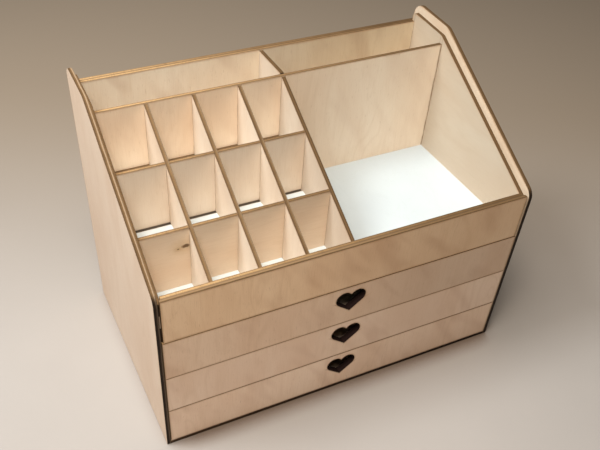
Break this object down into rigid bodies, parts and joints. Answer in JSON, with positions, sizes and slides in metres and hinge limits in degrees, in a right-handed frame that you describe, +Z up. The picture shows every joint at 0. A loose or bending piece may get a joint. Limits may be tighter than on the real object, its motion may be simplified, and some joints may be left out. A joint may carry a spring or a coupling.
{
  "type": "paint rack organizer",
  "caption": "Plywood desktop organizer: drawers with heart-shaped finger holes under an open tray of stepped cells and larger compartments, between slanted sides.",
  "frame": {"origin": "middle of the footprint, at the height of the underside", "axes": "+Z up; +X to the right as seen from the front; +Y to the back; the drawers open towards -Y"},
  "size_m": [0.3, 0.181, 0.2299],
  "materials": {
    "plywood": "matt",
    "white_hardboard": "satin"
  },
  "bodies": {
    "carcass": {"back_cover": "plywood", "back_wall": "plywood", "base_panel": "plywood", "centre_divider": "plywood", "column_divider_1": "plywood", "column_divider_2": "plywood", "column_divider_3": "plywood", "cross_panel": "plywood", "deck_panel": "white_hardboard", "drawer_shelf_lower": "plywood", "drawer_shelf_upper": "plywood", "front_board": "plywood", "inner_side_left": "plywood", "inner_side_right": "plywood", "middle_floor": "white_hardboard", "outer_side_left": "plywood", "outer_side_right": "plywood", "rear_floor": "white_hardboard", "row_divider_1": "plywood", "row_divider_2": "plywood", "tray_floor": "white_hardboard", "tray_front_wall": "plywood"},
    "drawer_top": {"drawer_1_back_wall": "plywood", "drawer_1_bottom": "plywood", "drawer_1_front": "plywood", "drawer_1_front_wall": "plywood", "drawer_1_side_left": "plywood", "drawer_1_side_right": "plywood"},
    "drawer_middle": {"drawer_2_back_wall": "plywood", "drawer_2_bottom": "plywood", "drawer_2_front": "plywood", "drawer_2_front_wall": "plywood", "drawer_2_side_left": "plywood", "drawer_2_side_right": "plywood"},
    "drawer_bottom": {"drawer_3_back_wall": "plywood", "drawer_3_bottom": "plywood", "drawer_3_front": "plywood", "drawer_3_front_wall": "plywood", "drawer_3_side_left": "plywood", "drawer_3_side_right": "plywood"}
  },
  "joints": [
    {"name": "drawer_top_slide", "type": "slide", "parent": "carcass", "child": "drawer_top", "axis": [0, -1, 0], "range_m": [0, 0.125]},
    {"name": "drawer_middle_slide", "type": "slide", "parent": "carcass", "child": "drawer_middle", "axis": [0, -1, 0], "range_m": [0, 0.125]},
    {"name": "drawer_bottom_slide", "type": "slide", "parent": "carcass", "child": "drawer_bottom", "axis": [0, -1, 0], "range_m": [0, 0.125]}
  ]
}
